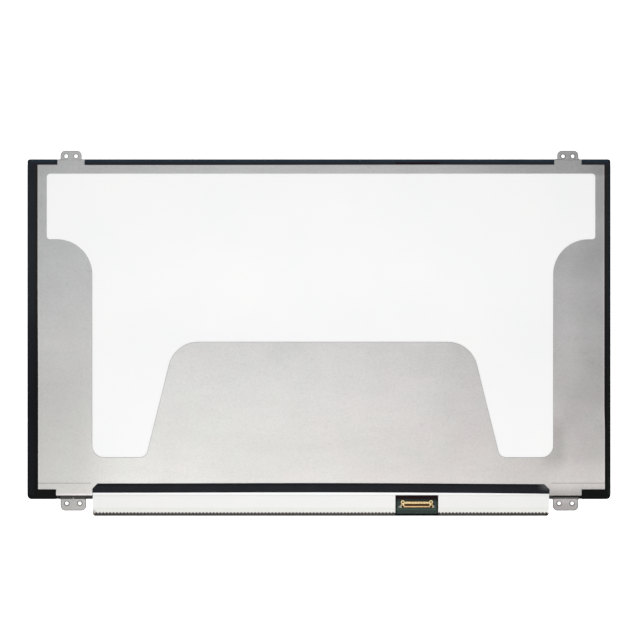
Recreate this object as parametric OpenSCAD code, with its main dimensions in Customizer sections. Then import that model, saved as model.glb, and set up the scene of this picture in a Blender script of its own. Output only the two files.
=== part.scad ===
// Slim display module for a laptop lid, seen from the back: it lies on its screen.
// +X runs along the long side, +Y towards the top ears, +Z from the screen to the back cover.
// The origin is the middle of the whole module's footprint, on the plane it lies on.

/* [Body] */
// Width across the black frame
body_w = 359.5; // [354:0.5:366]
// Height across the black frame
body_h = 209.5; // [207:0.5:214]
// Radius of the two corners at the top
top_corner_r = 1.5; // [0.8:0.1:2.5]
// Radius of the two corners at the bottom
bottom_corner_r = 2.5; // [1.5:0.1:3.5]
// Body's side to the picture
active_margin_side = 7.67; // [7.4:0.01:8]
// Body's top edge to the picture
active_margin_top = 5.6; // [5:0.1:6.4]
// Body's bottom edge to the picture
active_margin_bottom = 10.31; // [9.9:0.01:11]

/* [Layers] */
// Black edge tape and front tape
edge_tape_t = 0.05; // [0.03:0.01:0.08]
// Each polariser
polariser_t = 0.2; // [0.12:0.01:0.25]
// Colour filter glass
filter_glass_t = 0.4; // [0.2:0.05:0.5]
// Transistor glass
tft_glass_t = 0.4; // [0.2:0.05:0.5]
// Rim tape between the frame's ledge and the glass cell
rim_tape_t = 0.1; // [0.05:0.01:0.15]
// Each diffuser sheet
diffuser_t = 0.12; // [0.08:0.01:0.15]
// Each prism sheet
prism_t = 0.16; // [0.12:0.01:0.2]
// Light guide plate
guide_t = 0.7; // [0.65:0.01:0.8]
// White reflector sheet
reflector_t = 0.19; // [0.12:0.01:0.25]
// Steel of the back cover
steel_t = 0.3; // [0.25:0.01:0.4]
// Two-sided tape under the back cover
bond_tape_t = 0.05; // [0.03:0.01:0.08]
// White film over the control board
cover_film_t = 0.05; // [0.04:0.01:0.08]
// Black tape that joins the film to the back cover
joint_tape_t = 0.05; // [0.04:0.01:0.08]

/* [Back cover] */
// Body's left edge to the cover
cover_margin_left = 6.25; // [6:0.05:6.5]
// Body's right edge to the cover
cover_margin_right = 3.5; // [3:0.05:4]
// Body's top edge to the cover
cover_margin_top = 3.3; // [3:0.05:3.8]
// Body's bottom edge to the cover, between and beside the skirts
cover_margin_bottom = 6; // [5.8:0.05:6.2]
// Frame's back rim below the cover's back face
rim_drop = 0.15; // [0.06:0.01:0.2]
// Running gap between the cover's edge and the frame
cover_gap = 0.15; // [0.1:0.01:0.25]
// Depth of the scored line beside the joint tape
crease_depth = 0.06; // [0.03:0.01:0.1]
// Width of the scored line
crease_w = 0.35; // [0.2:0.05:0.6]
// Scored line's end outside the control board's end
crease_short = 1; // [0.5:0.1:3]

/* [Window in the back cover] */
// Steel left of the window
rail_left = 5.6; // [4.5:0.05:7]
// Steel right of the window
rail_right = 5.85; // [4.5:0.05:7]
// Steel above the window
rail_top = 5.5; // [4:0.05:7]
// Steel below the window
rail_bottom = 19.7; // [18:0.1:24]
// Height of the window's two side lobes
lobe_h = 40.6; // [36:0.1:46]
// Lobe's outer end to the leg, on the left
shoulder_left = 28.1; // [27:0.05:32]
// Lobe's outer end to the leg, on the right
shoulder_right = 26; // [25:0.05:30]
// Radius of the shoulders over the legs
shoulder_r = 21.7; // [14:0.1:22]
// Radius of the window's top corners
window_top_r = 2.3; // [1:0.1:5]
// Radius of the lobes' lower corners
lobe_r = 2; // [1:0.1:3]
// Radius of the legs' outer corners
leg_outer_r = 7.4; // [4:0.1:9]
// Radius of the legs' inner corners
leg_inner_r = 5; // [2:0.1:7]
// Width of the left leg at the window's foot
leg_w_left = 33.15; // [28:0.05:36]
// Width of the right leg at the window's foot
leg_w_right = 32.85; // [28:0.05:36]
// Slant of the tongue's sides
tongue_slant = 17.65; // [8:0.05:22]
// Height of the steel tongue above the window's foot
tongue_h = 71.2; // [60:0.1:80]
// Radius of the tongue's two shoulders
tongue_r = 18.7; // [10:0.1:22]

/* [Screw ears] */
// Shift of all four ears to the right
ear_shift = 0.3; // [0:0.05:0.5]
// Body's side to the middle of a top ear, before the shift
top_ear_in = 26.6; // [24:0.05:30]
// Width of a top ear
top_ear_w = 13.2; // [12:0.1:15]
// Width of the steel that a top ear grows from
top_base_w = 16.9; // [16:0.1:20]
// Top ear past the body's top edge
top_ear_reach = 5.45; // [4.9:0.05:6]
// Hole spacing in a top ear
top_hole_spacing = 6; // [5.5:0.1:6.5]
// Holes of a top ear past the body's top edge
top_hole_out = 1.9; // [1.9:0.05:2.6]
// Top ear's step down from the cover
top_ear_drop = 0.5; // [0.4:0.05:0.6]
// Length of the top ear's sloped step
top_step_run = 0.25; // [0.2:0.01:0.3]
// Gap between the top ear's step and the frame
top_step_gap = 0.06; // [0.04:0.01:0.1]
// Body's side to the middle of a bottom ear, before the shift
bottom_ear_in = 27.85; // [25:0.05:30]
// Width of a bottom ear
bottom_ear_w = 15.9; // [14:0.1:16.4]
// Bottom ear past the body's bottom edge
bottom_ear_reach = 7.3; // [6:0.05:7.6]
// Hole spacing in a bottom ear
bottom_hole_spacing = 8; // [7:0.1:8.5]
// Holes of a bottom ear past the body's bottom edge
bottom_hole_out = 2.75; // [2.4:0.05:3.2]
// Bottom ear's step down from the cover
bottom_ear_drop = 1.45; // [1.2:0.05:1.6]
// Skirt's folded edge above the body's bottom edge
skirt_fold = 2.4; // [1.9:0.05:2.5]
// Skirt's lower end past the body's bottom edge
skirt_out = 0.05; // [0:0.05:0.4]
// Left skirt's outer end from the ear's middle
skirt_outer_left = 10.5; // [9:0.1:12]
// Right skirt's outer end from the ear's middle
skirt_outer_right = 9.7; // [9:0.1:12]
// Slant of the skirt's outer end
skirt_slant = 1.6; // [0.5:0.1:2]
// Width of the stiffening rib in a skirt's fold
gusset_w = 0.8; // [0.5:0.1:1.2]
// Reach of the stiffening rib on either side of the fold
gusset_reach = 0.55; // [0.3:0.05:0.8]
// Radius of an ear's outer corners
ear_r = 3; // [2:0.1:4]
// Radius of a skirt's inner end and of a top ear's roots
skirt_r = 0.8; // [0.5:0.1:1]
// Radius of the blank's small corners
blank_r = 0.3; // [0.1:0.05:0.4]
// Inside radius of every fold
fold_r = 0.12; // [0.05:0.01:0.15]
// Radius of every screw hole
ear_hole_r = 1.05; // [0.9:0.05:1.2]
// Radius of the sink round a hole
ear_sink_r = 1.55; // [1.4:0.05:1.6]
// Depth of the sink round a hole
ear_sink_depth = 0.14; // [0.05:0.01:0.2]

/* [Tapes round the frame] */
// Front leg of a side tape
edge_front_w = 4.4; // [4:0.1:5]
// Front leg of the top tape
edge_top_front_w = 3.9; // [3.5:0.1:4.2]
// Left tape's back leg to the cover
back_leg_gap_left = 2.05; // [1.5:0.05:3]
// Right tape's back leg to the cover
back_leg_gap_right = 1.6; // [1.2:0.05:2.2]
// Top tape's back leg to the cover
back_leg_gap_top = 1.4; // [1:0.05:2]
// Gap between two tapes on the front
edge_leg_gap = 0.1; // [0.05:0.05:0.3]
// Front tape's lap over the picture's lower rim
front_tape_lap = 1; // [0.5:0.1:1.5]
// Length of the front tape's step down from the glass
front_tape_step = 1.4; // [1:0.1:2]

/* [Glass cell] */
// Picture's side to the glass edge
glass_margin_side = 5.1; // [4:0.1:5.4]
// Picture's top to the glass edge
glass_margin_top = 3.1; // [2.6:0.1:3.4]
// Picture's bottom to the colour filter's edge
glass_margin_bottom = 3; // [2.6:0.1:3.4]
// Bare ledge of the transistor glass below the colour filter
glass_ledge = 3.6; // [3.2:0.1:3.9]
// Polariser inside the glass edge
polariser_inset = 0.5; // [0.3:0.1:0.8]
// Gap between the glass and the frame
cell_gap = 0.2; // [0.1:0.05:0.4]

/* [Backlight] */
// Picture's left side to the light guide's edge
guide_margin_left = 0.6; // [0.4:0.05:0.7]
// Picture's right side to the light guide's edge
guide_margin_right = 2; // [1.6:0.1:2.4]
// Picture's top to the light guide's edge
guide_margin_top = 0.9; // [0.6:0.1:1.4]
// Picture's bottom to the light guide's lit edge
guide_margin_bottom = 2.6; // [2.4:0.1:2.7]
// Picture's bottom to the edge of the four optical sheets
sheet_margin_bottom = 0.9; // [0.6:0.1:1.1]
// Gap round the light guide and sheets
guide_gap = 0.15; // [0.1:0.05:0.25]
// Rim tape and light from the picture's edge
rim_tape_inset = 0.3; // [0.2:0.05:0.35]
// Width of a sheet's locating tab
tab_w = 8; // [5:0.5:12]
// Tab past the sheet's side
tab_out = 1.2; // [0.8:0.1:1.5]
// Number of lamps
lamp_count = 40; // [30:1:48]
// Length of a lamp
lamp_w = 3; // [2.6:0.1:3.4]
// Lamp's depth from the guide's edge
lamp_depth = 0.85; // [0.6:0.05:0.9]
// Lamp's height
lamp_h = 0.6; // [0.4:0.05:0.6]
// Lamp's wall round its window
lamp_wall = 0.12; // [0.08:0.01:0.2]
// Depth of a lamp's window
lamp_window_depth = 0.15; // [0.1:0.01:0.3]
// Gap between lamps and light guide
lamp_gap = 0.05; // [0.02:0.01:0.1]
// Flexible lamp strip
strip_t = 0.1; // [0.08:0.01:0.12]
// Two-sided tape under the lamp strip
strip_tape_t = 0.05; // [0.03:0.01:0.06]
// Lap of the strip over the light guide
strip_lap = 1.1; // [0.8:0.1:1.2]
// Width of the strip's tail
tail_w = 5; // [4:0.1:7]
// Room in the bond tape on each side of the tail
tail_room = 0.5; // [0.2:0.1:1]
// Middle of the tail and its socket, as a share of the board's length
tail_at = 0.0764; // [0.06:0.0001:0.09]

/* [Control board] */
// Body's left side to the board
board_margin_left = 40.25; // [39:0.05:42]
// Body's right side to the board
board_margin_right = 37.85; // [36.5:0.05:39]
// Board past the body's bottom edge
board_reach = 10.5; // [9.6:0.05:10.8]
// Gap between the board and the frame
board_gap = 0.2; // [0.1:0.05:0.3]
// Board thickness
board_t = 0.6; // [0.5:0.05:0.7]
// Copper standing on the board
copper_t = 0.035; // [0.02:0.005:0.05]
// Radius of the board's lower corners
board_r = 1.5; // [0.8:0.1:2]
// Board's rim left bare below the white film
bare_rim = 1.8; // [1:0.05:2.2]
// Spacing of the plated teeth on the rim
tooth_pitch = 2.13; // [2:0.01:3]
// Width of a plated tooth
tooth_w = 1.15; // [0.8:0.05:1.4]
// Number of source films
source_count = 4; // [3:1:5]
// Width of a source film at the glass
source_w = 44; // [36:1:48]
// Source film thickness
source_t = 0.08; // [0.05:0.01:0.08]
// Length of a source driver chip
driver_w = 22; // [16:1:26]
// Depth of a source driver chip
driver_depth = 1.2; // [0.9:0.1:1.4]
// Height of a source driver chip
driver_h = 0.25; // [0.2:0.01:0.3]
// Room in the frame round a source driver chip
driver_room = 0.3; // [0.2:0.05:0.4]
// Room in the frame past the source films, on each side
film_room = 2; // [1:0.5:4]
// Bevel of a source film's corners on the board
source_bevel = 3; // [1:0.5:5]
// Source film's lap on the board
source_lap = 2; // [1.5:0.1:2.5]
// Board's edge to the plated band
rim_inset = 0.2; // [0.1:0.05:0.3]

/* [White film and joint tape] */
// Joint tape's width
joint_tape_w = 5.75; // [5:0.05:6.2]
// Joint tape's top edge above the body's bottom edge
joint_tape_up = 9.7; // [9.2:0.05:10]
// Cut corners of the joint tape
joint_tape_cut = 3; // [1:0.1:4]
// Lap of the white film under the joint tape
film_lap = 4; // [3.6:0.1:4.4]
// White film's flat top below the cover's back face
film_drop = 0.55; // [0.4:0.01:0.6]
// Where the film starts down, above the body's bottom edge
film_bend_top = 3.55; // [3.4:0.05:3.8]
// Where the film comes level, above the body's bottom edge
film_bend_level = 1.35; // [1:0.05:1.6]
// Length of the film's lower slope
film_slope = 2.6; // [2:0.1:2.6]
// Film glued flat on the board
film_foot = 0.35; // [0.3:0.05:0.6]
// Width of the film's cut-out round the cable socket
cutout_w = 26.15; // [25:0.05:28]
// Top of the cut-out above the body's bottom edge
cutout_top = 2.45; // [2.2:0.05:2.8]

/* [Cable socket] */
// Middle of the socket, as a share of the board's length
socket_at = 0.7104; // [0.68:0.0001:0.74]
// Number of contacts
contact_count = 30; // [20:10:30]
// Contact spacing
contact_pitch = 0.5; // [0.5:0.05:0.55]
// Contact width
contact_w = 0.2; // [0.16:0.01:0.24]
// Contact sheet thickness
contact_t = 0.1; // [0.08:0.01:0.12]
// Housing past the last contact
housing_end = 1.35; // [1.1:0.05:1.6]
// Housing depth
housing_depth = 3.65; // [3.4:0.05:4.5]
// Housing height
housing_h = 0.85; // [0.8:0.05:0.95]
// Housing's back below the body's bottom edge
housing_down = 1.7; // [1.15:0.05:1.9]
// Height of the mouth that takes the plug
mouth_h = 0.4; // [0.35:0.01:0.45]
// Mouth's middle above the housing's middle
mouth_up = 0.05; // [0:0.01:0.08]
// Mouth past the outer contacts, on each side
mouth_end = 0.6; // [0.4:0.05:0.8]
// Housing wall behind the mouth
mouth_wall = 1.1; // [0.9:0.05:1.4]
// Contact's tip behind the housing's front
contact_set_back = 0.7; // [0.5:0.05:0.9]
// Contact's foot on the board, behind the housing
contact_foot = 0.4; // [0.4:0.05:0.7]
// Shell sheet thickness
shell_t = 0.12; // [0.1:0.01:0.15]
// Depth of the shell's bar over the contact row
shell_bar_back = 1.35; // [1.2:0.05:1.9]
// Depth of the shell's bar over the mouth
shell_bar_front = 0.8; // [0.7:0.05:1.2]
// Front bar behind the housing's front
shell_front_in = 0.3; // [0.2:0.05:0.3]
// Outer radius of the shell's two pull loops
loop_r = 1.15; // [1.05:0.05:1.4]
// Hole radius of a pull loop
loop_hole_r = 0.45; // [0.4:0.05:0.6]
// Front bar inside the housing's ends
shell_inset = 0.5; // [0.2:0.05:0.6]
// Depth of a solder leg
leg_depth = 1; // [0.8:0.1:1.2]
// Pull loop's middle in front of the housing's back
loop_set_in = 0.2; // [0.1:0.05:0.6]
// Width of the strap from the front bar to the arms
shell_strap = 0.4; // [0.3:0.05:0.5]
// Width of the shell's slanted arms
arm_w = 0.8; // [0.8:0.05:1.2]
// Shell's solder leg past the loop's middle
leg_out = 1.6; // [1.4:0.05:2.2]
// Number of windows in the bar over the contact row
shell_windows = 9; // [5:2:15]
// Width of such a window
shell_window_w = 0.7; // [0.4:0.1:1]
// Depth of such a window
shell_window_depth = 0.3; // [0.2:0.05:0.5]
// Such a window in front of the housing's back
shell_window_in = 0.75; // [0.4:0.05:1]
// Length of the solder beside a leg
solder_w = 1.2; // [0.8:0.1:1.4]
// Solder's foot on the board
solder_foot = 0.55; // [0.3:0.05:0.8]

/* [Parts on the board] */
// Board's top edge to the middle of the chips
chips_down = 3.6; // [3.4:0.1:4]
// Capacitors below the chips' middle
capacitors_down = 0.6; // [0:0.1:1]
// Fuse below the chips' middle
fuse_down = 1; // [0:0.1:1.4]
// Resistors above the chips' middle
resistors_up = 1.6; // [1:0.1:2]
// Middle of the timing controller, as a share of the board's length
controller_at = 0.574; // [0.564:0.001:0.584]
// Middle of the memory chip, as a share of the board's length
memory_at = 0.624; // [0.614:0.001:0.634]
// Middle of the power chip, as a share of the board's length
power_chip_at = 0.275; // [0.265:0.001:0.285]
// Middle of the gamma chip, as a share of the board's length
gamma_chip_at = 0.457; // [0.447:0.001:0.467]
// Middle of the lamp driver chip, as a share of the board's length
lamp_chip_at = 0.147; // [0.137:0.001:0.157]
// Middle of the fuse, as a share of the board's length
fuse_at = 0.652; // [0.642:0.001:0.662]
// Side of the timing controller
controller_w = 6; // [5:0.1:6.4]
// Side of the power and gamma chips
power_chip_w = 5; // [4:0.1:5.5]
// Side of the lamp driver chip
lamp_chip_w = 4; // [3:0.1:5]
// Length of the memory chip
memory_w = 4; // [3:0.1:5]
// Height of every chip
chip_h = 0.8; // [0.6:0.05:0.85]
// Spacing of the leads round a chip
lead_pitch = 0.5; // [0.4:0.05:0.8]
// Width of a lead
lead_w = 0.24; // [0.18:0.01:0.3]
// Lead past the chip's side
lead_out = 0.1; // [0.05:0.01:0.2]
// Height of a lead
lead_h = 0.2; // [0.1:0.05:0.3]
// Radius of the dimple that marks a chip's first lead
dimple_r = 0.3; // [0.2:0.05:0.4]
// Depth of that dimple
dimple_depth = 0.06; // [0.04:0.01:0.1]
// That dimple's middle from two of the chip's sides
dimple_in = 0.75; // [0.6:0.05:1]
// Side of a power inductor
inductor_w = 4; // [3:0.1:4.4]
// Height of a power inductor
inductor_h = 1; // [0.8:0.05:1.1]
// Length of a ceramic capacitor
capacitor_w = 1.6; // [1:0.1:2]
// Length of a chip resistor
resistor_w = 1; // [0.6:0.1:1.6]
// Length of the fuse
fuse_w = 1.6; // [1:0.1:2]
// Board's top edge to the lamp socket
lamp_socket_down = 1.6; // [1.4:0.1:2]
// Lamp socket's depth
lamp_socket_depth = 3; // [2.6:0.1:3.2]
// Lamp socket's height
lamp_socket_h = 0.9; // [0.8:0.05:0.95]
// Lamp socket past the tail, on each side
lamp_socket_end = 1.5; // [1.2:0.1:2]
// Latch inside the lamp socket's ends
latch_in = 0.5; // [0.3:0.1:1]
// Latch thickness
latch_t = 0.2; // [0.15:0.01:0.25]

/* [Hidden] */
round_fn = 96;
past = 1;
trim = 0.02;

// Body edges
body_y = (board_reach - top_ear_reach) / 2;
left = -body_w / 2;
right = body_w / 2;
top = body_y + body_h / 2;
bottom = body_y - body_h / 2;
active_left = left + active_margin_side;
active_right = right - active_margin_side;
active_top = top - active_margin_top;
active_bottom = bottom + active_margin_bottom;

// Layer heights, from the screen to the back
z_polariser = edge_tape_t;
z_filter = z_polariser + polariser_t;
z_tft = z_filter + filter_glass_t;
z_rear_polariser = z_tft + tft_glass_t;
z_rim_tape = z_rear_polariser + polariser_t;
z_ledge = z_rim_tape + rim_tape_t;
z_upper_prism = z_ledge + diffuser_t;
z_lower_prism = z_upper_prism + prism_t;
z_lower_diffuser = z_lower_prism + prism_t;
z_guide = z_lower_diffuser + diffuser_t;
z_reflector = z_guide + guide_t;
z_cover = z_reflector + reflector_t;
z_back = z_cover + steel_t;
z_rebate = z_cover - bond_tape_t;
z_rim = z_back - rim_drop;
z_strip_tape = z_guide - strip_tape_t;
z_strip = z_strip_tape - strip_t;
z_board = z_tft + board_t;

// Cell and backlight edges
cell_left = active_left - glass_margin_side;
cell_right = active_right + glass_margin_side;
cell_top = active_top + glass_margin_top;
filter_bottom = active_bottom - glass_margin_bottom;
tft_bottom = filter_bottom - glass_ledge;
guide_left = active_left - guide_margin_left;
guide_right = active_right + guide_margin_right;
guide_top = active_top + guide_margin_top;
guide_bottom = active_bottom - guide_margin_bottom;
sheet_bottom = active_bottom - sheet_margin_bottom;
strip_top = guide_bottom + strip_lap;
strip_bottom = guide_bottom - lamp_gap - lamp_depth - guide_gap / 3;
tab_places = [0.3, 0.75];

// Back cover edges
cover_left = left + cover_margin_left;
cover_right = right - cover_margin_right;
cover_top = top - cover_margin_top;
cover_bottom = bottom + cover_margin_bottom;
window_left = cover_left + rail_left;
window_right = cover_right - rail_right;
window_top = cover_top - rail_top;
window_foot = cover_bottom + rail_bottom;
leg_left = window_left + shoulder_left;
leg_right = window_right - shoulder_right;
top_ear_x = right - top_ear_in;
bottom_ear_x = right - bottom_ear_in;

function top_ear_at(side) = ear_shift + side * top_ear_x;
function bottom_ear_at(side) = ear_shift + side * bottom_ear_x;

// Board and film edges
board_left = left + board_margin_left;
board_right = right - board_margin_right;
board_w = board_right - board_left;
board_top = bottom - board_gap;
board_bottom = bottom - board_reach;
film_end = board_bottom + bare_rim;
film_slope_end = film_end + film_foot;
film_slope_start = film_slope_end + film_slope;
z_film = z_back - film_drop;
tape_top = bottom + joint_tape_up;
tape_bottom = tape_top - joint_tape_w;
film_start = tape_bottom + film_lap;
parts_y = board_top - chips_down;
source_pitch = board_w / source_count;
source_top = tft_bottom + glass_ledge * 0.55;
driver_y = (tft_bottom - cell_gap + bottom) / 2;

// Cable socket edges
socket_x = on_board(socket_at);
contact_span = (contact_count - 1) * contact_pitch;
housing_w = contact_span + 2 * housing_end;
housing_back = bottom - housing_down;
housing_front = housing_back - housing_depth;
z_mouth = z_board + (housing_h - mouth_h) / 2 + mouth_up;
z_contact = z_mouth + (mouth_h - contact_t) / 2;
z_shell = z_board + housing_h;
loop_x = housing_w / 2 + shell_t;
loop_y = housing_back - loop_set_in;
leg_y = housing_front + leg_depth / 2;
leg_x = loop_x + leg_out;

// Lamp socket edges
tail_x = on_board(tail_at);
lamp_socket_top = board_top - lamp_socket_down;
lamp_socket_w = tail_w + 2 * lamp_socket_end;
tail_end = lamp_socket_top - lamp_socket_depth * 0.6;

// Where the small parts sit, as shares of the board's length
capacitors_at = [0.027, 0.037, 0.112, 0.126, 0.215, 0.233, 0.332, 0.346, 0.386, 0.403, 0.506,
    0.524, 0.54, 0.602, 0.787, 0.808, 0.84, 0.869, 0.908, 0.947];
resistors_at = [0.016, 0.101, 0.197, 0.251, 0.261, 0.364, 0.421, 0.485, 0.496, 0.551, 0.641, 0.776,
    0.826, 0.855, 0.89, 0.929, 0.965];
inductors_at = [0.179, 0.304];

// Colours
steel_colour = [0.74, 0.74, 0.73];
black_colour = [0.1, 0.1, 0.11];
white_colour = [0.95, 0.95, 0.95];
gold_colour = [0.85, 0.68, 0.4];
board_colour = [0.11, 0.2, 0.17];
chip_colour = [0.13, 0.13, 0.14];

function unit(v) = v / norm(v);
function bend(a, b, c) = (b.x - a.x) * (c.y - b.y) - (b.y - a.y) * (c.x - b.x);
function on_board(share) = board_left + share * board_w;
function reversed(list) = [for (i = [len(list) - 1 : -1 : 0]) list[i]];

// The point where two edges of a sheet's other face meet, t to the right of its path
function mitre(a, b, c, t) =
    let (u = unit(b - a), v = unit(c - b), m = [u.y, -u.x], n = [v.y, -v.x])
    b + t * (m + n) / (1 + m * n);

// A flat outline whose corners [x, y, radius], counter-clockwise, are rounded by true arcs
module rounded_outline(corners) {
    n = len(corners);
    cuts = [for (i = [0 : n - 1])
        let (a = corners[(i + n - 1) % n], b = corners[i], c = corners[(i + 1) % n],
             p = [b.x, b.y], u = unit([a.x, a.y] - p), v = unit([c.x, c.y] - p),
             half = acos(u * v) / 2, reach = b.z / tan(half))
        [p + reach * u, p + reach * v, p + b.z / sin(half) * unit(u + v), b.z, bend(a, b, c) > 0, p]];
    difference() {
        union() {
            polygon([for (k = cuts) each (k[3] > 0 ? [k[0], k[1]] : [k[0]])]);
            for (k = cuts) if (k[3] > 0 && k[4]) corner_segment(k);
        }
        for (k = cuts) if (k[3] > 0 && !k[4]) corner_segment(k);
    }
}

// The round segment between a cut corner's chord and its arc
module corner_segment(k) {
    intersection() {
        translate(k[2]) circle(r = k[3], $fn = round_fn);
        polygon([k[0], k[5] + (k[5] - (k[0] + k[1]) / 2) / 4, k[1]]);
    }
}

// The section of a sheet of thickness t folded along a path on its left face
module folded_section(path, t, r) {
    n = len(path);
    far = [for (i = [0 : n - 1])
        i == 0 ? path[0] + t * [unit(path[1] - path[0]).y, -unit(path[1] - path[0]).x] :
        i == n - 1 ? path[i] + t * [unit(path[i] - path[i - 1]).y, -unit(path[i] - path[i - 1]).x] :
        mitre(path[i - 1], path[i], path[i + 1], t)];
    turns = [for (i = [0 : n - 1]) i == 0 || i == n - 1 ? 0 : bend(path[i - 1], path[i], path[i + 1])];
    near_side = [for (i = [0 : n - 1])
        [path[i].x, path[i].y, turns[i] == 0 ? 0 : turns[i] < 0 ? r + t : r]];
    far_side = [for (i = [0 : n - 1])
        [far[i].x, far[i].y, turns[i] == 0 ? 0 : turns[i] < 0 ? r : r + t]];
    rounded_outline(concat(far_side, reversed(near_side)));
}

// A section drawn in (y, z) and run along X
module along_x(from, to) {
    translate([from, 0, 0]) rotate([90, 0, 90]) linear_extrude(to - from) children();
}

// A section drawn in (x, z) and run along Y
module along_y(from, to) {
    translate([0, to, 0]) rotate([90, 0, 0]) linear_extrude(to - from) children();
}

module slab(x0, x1, y0, y1, z, t) {
    translate([x0, y0, z]) cube([x1 - x0, y1 - y0, t]);
}

// A box standing on z, centred on [x, y]
module chip(x, y, z, size) {
    translate([x - size.x / 2, y - size.y / 2, z]) cube(size);
}

// A rectangle with a rectangular hole, both given as [x0, x1, y0, y1]
module ring(outer, inner, z, t) {
    difference() {
        slab(outer[0], outer[1], outer[2], outer[3], z, t);
        slab(inner[0], inner[1], inner[2], inner[3], z - past, t + 2 * past);
    }
}

// Tapes

edge_foot = bottom + bottom_corner_r;
edge_head = top - edge_top_front_w - edge_leg_gap;

// The wrapped tape's section: outer face at 0, front leg at the bottom, back leg at the top
module wrap_section(front_w, back_w) {
    t = edge_tape_t;
    h = z_rim + t;
    polygon([[0, 0], [front_w, 0], [front_w, t], [t, t], [t, h - t], [back_w, h - t],
        [back_w, h], [0, h]]);
}

module edge_tape_left() {
    color(black_colour) along_y(edge_foot, edge_head)
        translate([left, 0]) wrap_section(edge_front_w, cover_margin_left - back_leg_gap_left);
}

module edge_tape_right() {
    color(black_colour) along_y(edge_foot, edge_head)
        translate([right, 0]) mirror([1, 0])
            wrap_section(edge_front_w, cover_margin_right - back_leg_gap_right);
}

module edge_tape_top() {
    color(black_colour) difference() {
        along_x(left + top_corner_r, right - top_corner_r) translate([top, 0]) mirror([1, 0])
            wrap_section(edge_top_front_w, cover_margin_top - back_leg_gap_top);
        for (side = [-1, 1])
            translate([top_ear_at(side), top, z_rebate])
                chip(0, 0, 0, [top_base_w + 2 * cover_gap, 2 * cover_margin_top, 2 * steel_t]);
    }
}

// Black tape from the polariser's foot over the source films to the board's front
z_front_tape = z_tft - source_t - edge_tape_t;
front_tape_path = [[active_bottom - front_tape_lap, 0], [filter_bottom - edge_leg_gap, 0],
    [filter_bottom - edge_leg_gap - front_tape_step, z_front_tape], [board_bottom + board_r, z_front_tape]];

module front_cover_tape() {
    color(black_colour) intersection() {
        along_x(cell_left, cell_right)
            polygon(concat(front_tape_path, reversed([for (p = front_tape_path) p + [0, edge_tape_t]])));
        union() {
            slab(left + edge_front_w + edge_leg_gap, right - edge_front_w - edge_leg_gap,
                tft_bottom + cell_gap / 2, active_bottom, -past, z_board + past);
            slab(board_left, board_right, board_bottom, tft_bottom + cell_gap, -past, z_board + past);
        }
    }
}

// Glass cell

module polariser(z, foot) {
    slab(cell_left + polariser_inset, cell_right - polariser_inset, foot, cell_top - polariser_inset,
        z, polariser_t);
}

module front_polariser() {
    color([0.08, 0.08, 0.1]) polariser(z_polariser, filter_bottom + polariser_inset);
}

module colour_filter_glass() {
    color([0.7, 0.8, 0.8]) slab(cell_left, cell_right, filter_bottom, cell_top, z_filter, filter_glass_t);
}

module tft_glass() {
    color([0.65, 0.78, 0.76]) slab(cell_left, cell_right, tft_bottom, cell_top, z_tft, tft_glass_t);
}

module rear_polariser() {
    color([0.5, 0.5, 0.52]) polariser(z_rear_polariser, tft_bottom + polariser_inset);
}

module rim_tape() {
    color(black_colour) ring(
        [cell_left + polariser_inset, cell_right - polariser_inset, tft_bottom + polariser_inset,
            cell_top - polariser_inset],
        [active_left - rim_tape_inset, active_right + rim_tape_inset, active_bottom - rim_tape_inset,
            active_top + rim_tape_inset],
        z_rim_tape, rim_tape_t);
}

// Moulded frame

// The cover's flat outline with its ears' bases and skirts, grown by a gap
module cover_outline(grow) {
    translate([cover_left - grow, cover_bottom - grow])
        square([cover_right - cover_left + 2 * grow, cover_top - cover_bottom + 2 * grow]);
    for (side = [-1, 1])
        translate([top_ear_at(side) - top_base_w / 2 - grow, cover_top - past])
            square([top_base_w + 2 * grow, cover_margin_top + 2 * past]);
}

// Plan of the frame: body outline inside the edge tape
module frame_outline() {
    t = edge_tape_t;
    rounded_outline([[left + t, bottom, bottom_corner_r], [right - t, bottom, bottom_corner_r],
        [right - t, top - t, top_corner_r], [left + t, top - t, top_corner_r]]);
}

module mold_frame() {
    window = [guide_left - guide_gap, guide_right + guide_gap, guide_top + guide_gap];
    color(black_colour) difference() {
        translate([0, 0, z_polariser]) linear_extrude(z_rim - z_polariser) frame_outline();
        slab(cell_left - cell_gap, cell_right + cell_gap, tft_bottom - cell_gap, cell_top + cell_gap,
            -past, z_ledge + past);
        slab(window[0], window[1], sheet_bottom - guide_gap, window[2], 0, z_rim + past);
        slab(window[0], window[1], strip_bottom - guide_gap, window[2], z_strip, z_rim);
        for (side = [0, 1], place = tab_places)
            sheet_tab(side, place, guide_gap, z_ledge - past, z_guide - z_ledge + past);
        translate([0, 0, z_rebate]) linear_extrude(z_rim) cover_outline(cover_gap);
        for (side = [-1, 1]) skirt_pocket(side);
        slab(board_left - film_room, board_right + film_room, bottom - past, tft_bottom, -past,
            z_tft + past);
        slab(board_left - cover_gap, board_right + cover_gap, bottom - past,
            bottom + film_bend_top + cover_gap, z_film - cover_gap, z_back);
        for (x = source_places())
            chip(x, driver_y, z_tft - past, [driver_w + 2 * driver_room, driver_depth + 2 * driver_room,
                driver_h + driver_room / 2 + past]);
        chip(tail_x, (strip_bottom + bottom) / 2 - past, z_strip - guide_gap,
            [tail_w + 4 * guide_gap, strip_bottom - bottom + 3 * past, z_rim]);
    }
}

// Room in the frame for a skirt, which starts at the fold and slopes to the bottom ear
module skirt_pocket(side) {
    span = skirt_span(side);
    foot = z_back - bottom_ear_drop - steel_t - cover_gap;
    room = 3 * cover_gap;
    along_x(min(span) - cover_gap, max(span) + cover_gap)
        polygon([[bottom + cover_margin_bottom, z_rebate], [bottom + skirt_fold + room, z_rebate],
            [bottom - skirt_out + room, foot], [bottom - past, foot], [bottom - past, z_back + past],
            [bottom + cover_margin_bottom, z_back + past]]);
}

// Backlight

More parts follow.
